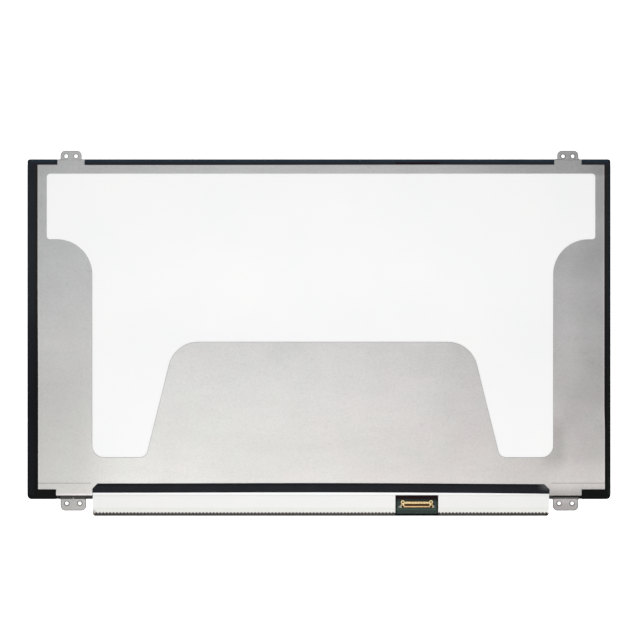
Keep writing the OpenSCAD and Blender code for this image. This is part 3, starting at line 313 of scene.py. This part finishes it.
def black_tape(name, left, right, gloss, tops=None):
    """Satin black polyester tape, uneven where it is pressed down, with painted reflection in its tints: one
    tint left and another right.

    tops are the two tints further up, if they differ, also painted reflection. A painted highlight lies over
    the right end of the joint's tape and shows on the front cover tape at the same place.
    """
    f = Finish(name, left, 0.42, Specular_IOR_Level=gloss)
    x, y, _ = f.axes()
    waves = f.noise(160, 2)
    f.set("Roughness", f.ramp(waves, 0.3, 0.7, 0.36, 0.5))
    # Painted reflection: the tint changes from left to right and towards the top
    rise = f.fade(y, -50, 60)
    left_top, right_top = tops or (left, right)
    tint = f.mix(f.fade(x, -170, 170), f.mix(rise, left, left_top), f.mix(rise, right, right_top))
    tint = f.scaled(tint, f.ramp(f.noise(35, 2), 0.35, 0.65, 0.85, 1.15))
    # Painted highlight, grey, over the right end of the joint's tape
    right_end_glint = f.fade(x, 134, 140.5) * f.fade(y, -98.2, -93.5) * (x < 142 * MM) * (y < 0)
    f.set("Base Color", f.mix(right_end_glint * 0.7, tint, (0.125, 0.128, 0.130)))
    return f.bump(waves, 0.15, 0.06)


def black_moulding():
    """Spark-eroded black polycarbonate, brownish where the socket's cut-out shows it, with painted reflection
    lighter up its sides and bluish along its top edge.
    """
    f = Finish("black_moulding", (0.003, 0.003, 0.003), 0.55, Specular_IOR_Level=0.06)
    x, y, _ = f.axes()
    sparks = f.noise(3500, 2)
    plain = f.mix(f.ramp(f.noise(50, 2), 0.35, 0.65), (0.002, 0.0022, 0.0022), (0.004, 0.0037, 0.0037))
    # Painted reflection: the frame grows lighter upwards from just above its plain black foot
    side = f.mix(f.fade(y, -50, 60), (0.0050, 0.0040, 0.0046), (0.0155, 0.0145, 0.0152))
    plain = f.mix(f.fade(y, -92, -80), plain, side)
    # Painted reflection: bluish along the top edge
    plain = f.mix(f.fade(y, 102, 104), plain, (0.015, 0.016, 0.022))
    opening = f.fade(abs(x - SOCKET_X * MM), 13, 14, 1, 0)
    f.set("Base Color", f.mix(opening, plain, (0.009, 0.003, 0.004)))
    return f.bump(sparks, 0.3, 0.03)


def foamed_white():
    """White reflector sheet, matt with the finest orange peel."""
    f = Finish("foamed_white", (0.87, 0.87, 0.87), 0.6, Specular_IOR_Level=0.3)
    peel = f.noise(700, 2)
    _, y, _ = f.axes()
    plain = f.mix(f.ramp(f.noise(18, 2), 0.3, 0.7), (0.862, 0.864, 0.866), (0.882, 0.880, 0.878))
    # Painted light: the sheet a little lighter towards the top
    f.set("Base Color", f.scaled(plain, f.fade(y, -10, 40, 0.994, 1.024)))
    return f.bump(peel, 0.1, 0.03)


def teeth(f, x):
    """1 over each plated tooth of the board's rim, 0 between them; the row begins anew beyond the socket."""
    left, right = FIRST_TEETH
    first = (x > SOCKET_X * MM) * ((right - left) * MM) + left * MM
    return f.fade(f.to_and_fro(x - first, TOOTH_PITCH / 2), 0.45, 0.7, 1, 0)


def satin_white_film():
    """White polyester film with slack waves, with painted shade down its two slopes and at its lower left
    corner, and a painted highlight, bluish, along the first fold.

    Its end is notched by the shadows of the board's teeth.
    """
    f = Finish("satin_white_film", (0.757, 0.757, 0.742), 0.38, Specular_IOR_Level=0.4)
    x, y, _ = f.axes()
    slack = f.noise(90, 2, f.stretched(1, 2.2, 1))
    plain = f.mix(f.ramp(f.noise(26, 2), 0.3, 0.7), (0.750, 0.754, 0.740), (0.766, 0.758, 0.744))
    # Painted highlight along the first fold, and painted shade down the two slopes
    fold_highlight = band(y, -99.1, -98.4, 0.3)
    slope_shade = band(y, -100.5, -99.7, 0.35)
    fall_shade = band(y, -109.2, -107.4, 0.3)
    notches = f.fade(y, -110.2, -110.36) * teeth(f, x)
    # Painted shade at the lower left corner, where the film curves down
    corner = f.fade(x, -139.4, -136.6, 1, 0) * f.fade(y, -108.0, -110.0)
    right_end = f.fade(x, 95, 115)
    plain = f.mix(f.fade(y, -105, -110), plain, (0.754, 0.750, 0.716))
    plain = f.mix(fold_highlight, plain, (0.772, 0.780, 0.792))
    shade = ((1 + fold_highlight * 0.07) * (1 - slope_shade * 0.11) * (1 - fall_shade * 0.06) * (1 - notches * 0.74)
             * (1 - corner * 0.5) * (1 + right_end * 0.02))
    f.set("Base Color", f.scaled(plain, shade))
    return f.bump(slack, 0.3, 0.3)


def dark_polariser():
    """Near black film with the grain of an anti-glare coat."""
    f = Finish("dark_polariser", (0.006, 0.006, 0.008), 0.3, Specular_IOR_Level=0.4)
    return f.bump(f.noise(9000, 1), 0.15, 0.01)


def sheet_glass():
    """Thin greenish glass, clear but not quite clean."""
    f = Finish("sheet_glass", (0.55, 0.68, 0.66), 0.05, Transmission_Weight=0.6, IOR=1.5)
    return f.set("Roughness", f.ramp(f.noise(120, 2), 0.3, 0.7, 0.03, 0.08))


def clear_acrylic():
    """Clear acrylic of the light guide."""
    f = Finish("clear_acrylic", (0.86, 0.93, 0.95), 0.08, Transmission_Weight=0.5, IOR=1.49)
    return f.set("Roughness", f.ramp(f.noise(200, 2), 0.3, 0.7, 0.05, 0.12))


def milky_film():
    """Diffuser sheet with a fine tooth."""
    f = Finish("milky_film", (0.88, 0.88, 0.88), 0.5)
    return f.bump(f.noise(5000, 1), 0.2, 0.01)


def ribbed_film():
    """Prism sheet: fine parallel ribs."""
    f = Finish("ribbed_film", (0.8, 0.84, 0.86), 0.2)
    _, y, _ = f.axes()
    return f.bump(f.to_and_fro(y, 0.05) * 10000, 0.5, 0.02)


def amber_flex():
    """Copper traces under an amber polyimide skin."""
    f = Finish("amber_flex", (0.55, 0.32, 0.06), 0.3, Coat_Weight=0.4)
    x, _, _ = f.axes()
    traces = f.to_and_fro(x, 0.2) > 0.1 * MM
    f.set("Base Color", f.mix(traces, (0.42, 0.22, 0.04), (0.66, 0.42, 0.12)))
    return f.bump(traces, 0.3, 0.02)


def lamp_white():
    """White lamp packages with patches of yellow phosphor."""
    f = Finish("lamp_white", (0.92, 0.9, 0.82), 0.35)
    phosphor = f.ramp(f.noise(900, 1), 0.4, 0.6)
    return f.set("Base Color", f.mix(phosphor, (0.93, 0.92, 0.86), (0.9, 0.82, 0.45)))


def green_board():
    """Dark green solder mask over traces, with dull tinned copper standing on the bare rim, painted near
    black as shade but for a band across the teeth.

    The film's cut-out shades the board round the socket, also where the board is bare.
    """
    f = Finish("green_board", (0.016, 0.032, 0.026), 0.4, Specular_IOR_Level=0.2)
    x, y, z = f.axes()
    bricks = f.node("ShaderNodeTexBrick", {"offset": 0.37, "squash": 0.7, "squash_frequency": 3},
                    {"Vector": f.place, "Scale": 420, "Mortar Size": 0.03, "Mortar Smooth": 0.4,
                     "Color1": (0, 0, 0, 1), "Color2": (0.25, 0.25, 0.25, 1), "Mortar": (1, 1, 1, 1),
                     "Brick Width": 1.6, "Row Height": 0.33})
    traces = f.node("ShaderNodeRGBToBW", {}, {0: bricks})
    vias = f.node("ShaderNodeTexVoronoi", {"feature": "F1"}, {"Vector": f.place, "Scale": 380}) < 0.11
    mask = f.mix(traces * 0.7, (0.010, 0.020, 0.018), (0.024, 0.048, 0.038))
    mask = f.mix(band(y, -108.9, -108.3, 0.3) * 0.9, mask, (0.024, 0.058, 0.032))
    mask = f.mix(vias, mask, (0.05, 0.06, 0.045))
    from_socket = abs(x - SOCKET_X * MM)
    opening = from_socket < 13.6 * MM
    bare = f.fade(y, -110.2, -110.5) * (1 - opening)
    between = (1 - teeth(f, x)) * f.fade(y, -111.9, -111.2)
    mask = f.mix(bare, mask, f.mix(between, (0.004, 0.004, 0.004), (0.23, 0.178, 0.160)))
    copper = f.fade(z, BOARD_BACK + 0.005, BOARD_BACK + 0.02)
    tin = f.mix(f.ramp(f.noise(1800, 2), 0.3, 0.7), (0.070, 0.064, 0.058), (0.120, 0.112, 0.104))
    # Painted shade: the tin near black but for a band across the teeth
    tin = f.scaled(tin, band(y, -112.2, -111.75, 0.15) * teeth(f, x) * 0.68 + 0.06)
    foot = f.fade(y, -111.5, -111.1, 1, 0) * opening
    side = f.fade(from_socket, 12.1, 12.6) * opening
    behind = band(y, -103.4, -101.8, 0.3) * opening
    shadow = (foot + side * 0.75 + behind * 0.5).least(1)
    f.set("Base Color", f.mix(shadow, f.mix(copper, mask, tin), (0.003, 0.0035, 0.004)))
    f.set("Metallic", (copper * 0.8).most(shadow))
    f.set("Roughness", 0.34 + copper * 0.1)
    return f.bump(traces + vias * 0.5, 0.4, 0.03)


def socket_black():
    """Brownish black liquid crystal polymer."""
    f = Finish("socket_black", (0.045, 0.02, 0.009), 0.5, Specular_IOR_Level=0.02)
    flow = f.noise(5000, 2)
    f.set("Base Color", f.mix(flow, (0.034, 0.012, 0.003), (0.056, 0.020, 0.004)))
    return f.bump(flow, 0.2, 0.01)


def ivory_moulding():
    """Ivory moulded plastic."""
    f = Finish("ivory_moulding", (0.72, 0.68, 0.56), 0.45)
    return f.bump(f.noise(4000, 2), 0.2, 0.01)


def gold_plate():
    """Gold plating mottled with wear and tinned at the tabs, with painted shade: redder and darker on the
    front bar, black where the arms meet it, dark round the loops' holes, in the gap between the bars and on
    the outer arms.
    """
    f = Finish("gold_plate", (0.48, 0.37, 0.19), 0.28, 1.0)
    x, y, _ = f.axes()
    out = abs(x - SOCKET_X * MM)
    wear = f.noise(2400, 2)
    plain = f.mix(f.ramp(wear, 0.35, 0.65), (0.41, 0.29, 0.14), (0.56, 0.45, 0.25))
    # Painted shade: the front bar redder and darker
    front = f.fade(y, -106.1, -106.4)
    plain = f.mix(front, plain, (0.54, 0.36, 0.185))
    # Painted shadow, black, where the arms meet the front bar
    shadow_at_arm_feet = band(out, 8.1, 9.2, 0.25) * f.fade(y, -106.6, -106.8)
    tab = f.fade(out, 9.5, 9.9) * front
    across, along = out - 8.72 * MM, y + 104.125 * MM
    # Painted shade round the loops' holes, in the gap between the bars and on the outer arms
    eye_shade = f.fade((across * across + along * along).root(), 0.85, 0.5)
    inner = band(y, -106.62, -105.12, 0.05) * f.fade(out, 7.7, 7.8, 1, 0)
    arm_shade = f.fade(out, 8.8, 9.1) * band(y, -106.7, -105.1, 0.2)
    shaded_plating = f.scaled(plain, (1 - front * 0.18) * (1 - arm_shade * 0.45) * (1 - inner * 0.55) * (1 - shadow_at_arm_feet * 0.97)
                    * (1 - eye_shade * 0.45))
    f.set("Base Color", f.mix(tab, shaded_plating, (0.20, 0.21, 0.175)))
    return f.set("Roughness", f.ramp(wear, 0.3, 0.7, 0.22, 0.4))


def contacts_in_shade():
    """Gold contacts deep in the socket, painted dark brown for the shade they lie in."""
    f = Finish("contacts_in_shade", (0.075, 0.034, 0.01), 0.4, 1.0)
    return f.set("Base Color", f.mix(f.noise(2400, 2), (0.055, 0.024, 0.008), (0.10, 0.046, 0.014)))


def bright_solder():
    """Bright solder, a little rippled."""
    f = Finish("bright_solder", (0.78, 0.78, 0.8), 0.2, 1.0)
    return f.bump(f.noise(2500, 2), 0.4, 0.05)


def moulded_resin():
    """Black moulded resin of the packaged chips."""
    f = Finish("moulded_resin", (0.022, 0.022, 0.024), 0.5)
    return f.bump(f.noise(6000, 2), 0.3, 0.01)


def ferrite():
    """Dark pressed ferrite."""
    f = Finish("ferrite", (0.06, 0.06, 0.065), 0.4)
    return f.bump(f.noise(3000, 3), 0.4, 0.02)


def tinned_ceramic():
    """Brown ceramic of the capacitors and the fuse."""
    f = Finish("tinned_ceramic", (0.36, 0.22, 0.12), 0.4)
    grain = f.noise(4000, 2)
    f.set("Base Color", f.mix(grain, (0.3, 0.18, 0.1), (0.42, 0.28, 0.17)))
    return f.bump(grain, 0.3, 0.01)


def paint(finish, *names):
    """Gives CAD pieces a finish of their own."""
    for name in names:
        piece = NODES[name]
        piece.data.materials.clear()
        piece.data.materials.append(finish.material)


def finish_cad_pieces():
    """Paints every CAD piece, and makes the four that are modelled again here."""
    # The tapes' tints are painted reflection: lighter and bluer up the sides, bluest along the top
    paint(black_tape("side_tape", (0.0024, 0.0034, 0.0060), (0.0048, 0.0060, 0.0066), 0.08,
                     ((0.0124, 0.0155, 0.0205), (0.0108, 0.0140, 0.0180))),
          "edge_tape_left", "edge_tape_right", "front_cover_tape", "rim_tape", "cover_bond_tape")
    paint(black_tape("top_tape", (0.0105, 0.0185, 0.029), (0.012, 0.0215, 0.034), 0.12), "edge_tape_top")
    joint = black_tape("joint_tape_black", (0.004, 0.0055, 0.009), (0.0045, 0.0055, 0.009), 0.12)
    paint(joint, "joint_tape")
    pressed_joint_tape(joint)
    paint(black_moulding(), "mold_frame")
    steel = zinc_steel()
    paint(steel, "back_cover")
    eased_cover(steel)
    paint(foamed_white(), "reflector_sheet")
    film = satin_white_film()
    paint(film, "board_cover_film", "strip_bond_tape")
    film_over_board(film)
    paint(dark_polariser(), "front_polariser", "rear_polariser")
    paint(sheet_glass(), "colour_filter_glass", "tft_glass")
    paint(clear_acrylic(), "light_guide_plate")
    paint(milky_film(), "upper_diffuser_sheet", "lower_diffuser_sheet")
    paint(ribbed_film(), "upper_prism_sheet", "lower_prism_sheet")
    paint(amber_flex(), "led_strip", "source_films")
    paint(lamp_white(), "led_packages")
    paint(green_board(), "control_board")
    paint(socket_black(), "socket_housing", "lamp_socket_latch")
    paint(ivory_moulding(), "lamp_socket")
    gold = gold_plate()
    paint(gold, "socket_shell")
    armed_shell(gold)
    paint(contacts_in_shade(), "socket_contacts")
    paint(bright_solder(), "socket_solder")
    paint(moulded_resin(), "source_driver_chips", "timing_controller", "memory_chip", "power_chip",
          "gamma_chip", "lamp_driver_chip", "chip_resistors")
    paint(ferrite(), "power_inductors")
    paint(tinned_ceramic(), "ceramic_capacitors", "board_fuse")


def deselect():
    if bpy.context.object and bpy.context.object.mode != "OBJECT":
        bpy.ops.object.mode_set(mode="OBJECT")
    bpy.ops.object.select_all(action="DESELECT")


def pick(piece):
    deselect()
    piece.select_set(True)
    bpy.context.view_layer.objects.active = piece


def choose(piece, kind, wanted):
    """In edit mode, selects just the faces, edges or vertices that a test on them accepts."""
    bpy.ops.mesh.select_mode(type={"faces": "FACE", "edges": "EDGE", "verts": "VERT"}[kind])
    bpy.ops.mesh.select_all(action="DESELECT")
    mesh = bmesh.from_edit_mesh(piece.data)
    for part in getattr(mesh, kind):
        if wanted(part):
            part.select_set(True)
    mesh.select_flush_mode()
    bmesh.update_edit_mesh(piece.data)


def slice_at(place, normal):
    """In edit mode, cuts the whole mesh in two along a plane and keeps both sides."""
    bpy.ops.mesh.select_all(action="SELECT")
    bpy.ops.mesh.bisect(plane_co=[n * place * MM for n in normal], plane_no=normal)


def copy_of(name, made):
    """A copy of a CAD piece as one joined mesh with flat faces whole, open in edit mode."""
    piece = NODES[name].copy()
    piece.data = NODES[name].data.copy()
    piece.name = piece.data.name = made
    bpy.context.scene.collection.objects.link(piece)
    pick(piece)
    bpy.ops.object.mode_set(mode="EDIT")
    bpy.ops.mesh.select_all(action="SELECT")
    bpy.ops.mesh.remove_doubles(threshold=0.001 * MM)
    bpy.ops.mesh.dissolve_limited(angle_limit=math.radians(0.5))
    return piece


def finish_piece(piece, finish, node, smooth=30):
    """Shades a piece, gives it its finish, and puts it in its CAD piece's place."""
    pick(piece)
    bpy.ops.object.shade_smooth_by_angle(angle=math.radians(smooth))
    piece.data.materials.clear()
    piece.data.materials.append(finish.material)
    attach(piece, "root")
    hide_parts(node)


def rim_edge(levels, skip):
    """A test for a wall's upper rim at one of some heights: a level face on one side, a wall on the other."""
    def wanted(edge):
        if len(edge.link_faces) != 2:
            return False
        wall, level_face = sorted(abs(face.normal.z) for face in edge.link_faces)
        first, second = (vertex.co for vertex in edge.verts)
        return (wall < 0.05 and level_face > 0.99 and abs(first.z - second.z) < 0.001 * MM
                and any(abs(first.z - level * MM) < 0.004 * MM for level in levels)
                and not skip((first + second) / 2))
    return wanted


def eased_cover(finish):
    """The steel plate with its sheared rims rounded over, but for the line scored across it."""
    piece = copy_of("back_cover", "stamped_cover")
    top_ear_back, low_ear_back, score_y = 2.6, 1.65, BODY_FOOT + 9.875
    choose(piece, "edges", rim_edge((FLAT_BACK, top_ear_back, low_ear_back),
                                    lambda middle: abs(middle.y - score_y * MM) < 0.3 * MM))
    bpy.ops.mesh.bevel(offset=0.2 * MM, segments=3, affect="EDGES", clamp_overlap=False)
    bpy.ops.object.mode_set(mode="OBJECT")
    finish_piece(piece, finish, "back_cover")
    even = piece.modifiers.new("even", "WEIGHTED_NORMAL")
    even.keep_sharp = True
    bpy.ops.object.modifier_apply(modifier="even")


def armed_shell(finish):
    """The socket's shell with two spring arms pulled down from its back bar to its front bar."""
    piece = copy_of("socket_shell", "armed_shell")
    inner, outer, back_bar_front, length = 7.85, 8.75, -105.275, 1.25
    for side in (-1, 1):
        for off in (inner, outer):
            slice_at(SOCKET_X + side * off, (1, 0, 0))

    def arm_root(face):
        at = face.calc_center_median()
        return (face.normal.y < -0.9 and abs(at.y - back_bar_front * MM) < 0.1 * MM
                and inner * MM < abs(at.x - SOCKET_X * MM) < outer * MM)

    choose(piece, "faces", arm_root)
    bpy.ops.mesh.extrude_faces_move(MESH_OT_extrude_faces_indiv={},
                                    TRANSFORM_OT_shrink_fatten={"value": length * MM})
    bpy.ops.object.mode_set(mode="OBJECT")
    finish_piece(piece, finish, "socket_shell")


def pressed_joint_tape(finish):
    """The tape over the joint, drawn slightly crooked as it was laid by hand, and wider at its right end."""
    piece = copy_of("joint_tape", "crooked_joint_tape")
    drawn = {-105: 0.03, -70: 0.12, -35: 0.22, 0: 0.26, 35: 0.18, 70: 0.0, 105: -0.26}
    for x in drawn:
        slice_at(x, (1, 0, 0))

    def move(dy, wanted):
        choose(piece, "verts", wanted)
        bpy.ops.transform.translate(value=(0, dy * MM, 0))

    for x, dy in drawn.items():
        move(dy, lambda v: abs(v.co.x - x * MM) < 1 * MM)
    move(-0.42, lambda v: v.co.x > 135 * MM)
    move(-0.25, lambda v: v.co.x > 135 * MM and v.co.y < -98 * MM)
    bpy.ops.object.mode_set(mode="OBJECT")
    finish_piece(piece, finish, "joint_tape")


def lowest(piece):
    """The lowest y of a mesh in edit mode, in metres."""
    return min(vertex.co.y for vertex in bmesh.from_edit_mesh(piece.data).verts)


def extrude_strip(piece, dy, dz):
    """Pulls the strip's lower edge on by one fold."""
    low = lowest(piece)
    choose(piece, "edges", lambda e: all(v.co.y < low + 0.01 * MM for v in e.verts))
    bpy.ops.mesh.extrude_edges_move(MESH_OT_extrude_edges_indiv={},
                                    TRANSFORM_OT_translate={"value": (0, dy * MM, dz * MM)})


def film_over_board(finish):
    """White film: flat under the tape, down over the frame, over the parts and down to the board."""
    deselect()
    top, flat, height, thickness = BODY_FOOT + 5.9, 2.35, 3.15, 0.05
    folds = ((-2.2, -0.55), (-7.1, 0), (-2.83, -1.23))
    middle = (sum(BOARD) / 2 * MM, (top - flat / 2) * MM, height * MM)
    bpy.ops.mesh.primitive_plane_add(size=1, location=middle)
    piece = bpy.context.object
    piece.name = piece.data.name = "white_film"
    piece.scale = ((BOARD[1] - BOARD[0]) * MM, flat * MM, 1)
    bpy.ops.object.transform_apply(location=True, rotation=True, scale=True)
    bpy.ops.object.mode_set(mode="EDIT")
    for dy, dz in folds:
        extrude_strip(piece, dy, dz)
    ends = (top * MM, lowest(piece))
    choose(piece, "edges", lambda e: abs(e.verts[0].co.y - e.verts[1].co.y) < 0.01 * MM
           and all(abs(e.verts[0].co.y - end) > 0.1 * MM for end in ends))
    bpy.ops.mesh.bevel(offset=0.3 * MM, segments=4, affect="EDGES")
    left, right, upper = SOCKET_X - 13.3, SOCKET_X + 13.15, BODY_FOOT + 2.45
    strip_width, strips = 6, 47
    for x in (left, right, *(BOARD[0] + k * strip_width for k in range(1, strips))):
        slice_at(x, (1, 0, 0))
    slice_at(upper, (0, 1, 0))

    def in_cut_out(face):
        at = face.calc_center_median()
        return left * MM < at.x < right * MM and at.y < upper * MM

    choose(piece, "faces", in_cut_out)
    bpy.ops.mesh.delete(type="FACE")
    bpy.ops.object.mode_set(mode="OBJECT")
    sheet = piece.modifiers.new("sheet", "SOLIDIFY")
    sheet.thickness, sheet.offset = thickness * MM, -1
    bpy.ops.object.modifier_apply(modifier="sheet")
    finish_piece(piece, finish, "board_cover_film", 40)


def lay_floor():
    """A plain pale floor, just under the panel so that the two don't share a plane."""
    deselect()
    bpy.ops.mesh.primitive_plane_add(size=8, location=(0, 0, -0.2 * MM))
    floor = bpy.context.object
    floor.name = "floor"
    f = Finish("pale_floor", (0.8, 0.8, 0.8), 0.9, Specular_IOR_Level=0.2, Emission_Color=(1, 1, 1, 1),
               Emission_Strength=1.0)
    floor.data.materials.append(f.material)


def soft_box(name, place, power):
    """A rectangular studio light, turned to the panel's middle, with its place in metres."""
    lamp = bpy.data.lights.new(name, "AREA")
    lamp.shape = "RECTANGLE"
    lamp.size, lamp.size_y = 0.5, 0.3
    lamp.energy = power
    holder = bpy.data.objects.new(name, lamp)
    holder.location = place
    holder.rotation_euler = (-Vector(place)).to_track_quat("-Z", "Y").to_euler()
    bpy.context.scene.collection.objects.link(holder)


def light_the_scene():
    """A pale tent, brighter low down, and four soft boxes with the main one towards the socket's edge."""
    world = bpy.data.worlds.new("light_tent")
    world.use_nodes = True
    nodes, links = world.node_tree.nodes, world.node_tree.links
    place = nodes.new("ShaderNodeTexCoord")
    split = nodes.new("ShaderNodeSeparateXYZ")
    ramp = nodes.new("ShaderNodeValToRGB")
    links.new(place.outputs["Generated"], split.inputs[0])
    links.new(split.outputs["Z"], ramp.inputs[0])
    links.new(ramp.outputs[0], nodes["Background"].inputs["Color"])
    stops = ((0.0, 0.84), (0.45, 0.62), (0.8, 0.44), (1.0, 0.42))
    bars = ramp.color_ramp.elements
    while len(bars) < len(stops):
        bars.new(1)
    for bar, (height, level) in zip(bars, stops):
        bar.position, bar.color = height, (level, level, level, 1)
    bpy.context.scene.world = world
    soft_box("main_box", (0, -0.45, 0.7), 2.49)
    soft_box("left_box", (-0.15, -0.15, 0.75), 0.67)
    soft_box("right_box", (0.1, -0.2, 0.75), 0.28)
    soft_box("back_box", (0, 0.4, 0.7), 0.98)


def set_camera():
    """Straight above, with field as the width that it sees at the height of the plate's back."""
    lens, sensor, field = 100, 36, 394.45
    camera = bpy.data.cameras.new("camera")
    camera.lens = lens
    camera.sensor_width = sensor
    holder = bpy.data.objects.new("camera", camera)
    holder.location = (0.64 * MM, 8.2 * MM, (FLAT_BACK + field * lens / sensor) * MM)
    scene = bpy.context.scene
    scene.collection.objects.link(holder)
    scene.camera = holder
    scene.view_settings.view_transform = "Standard"
    scene.view_settings.look = "None"


finish_cad_pieces()
lay_floor()
light_the_scene()
set_camera()
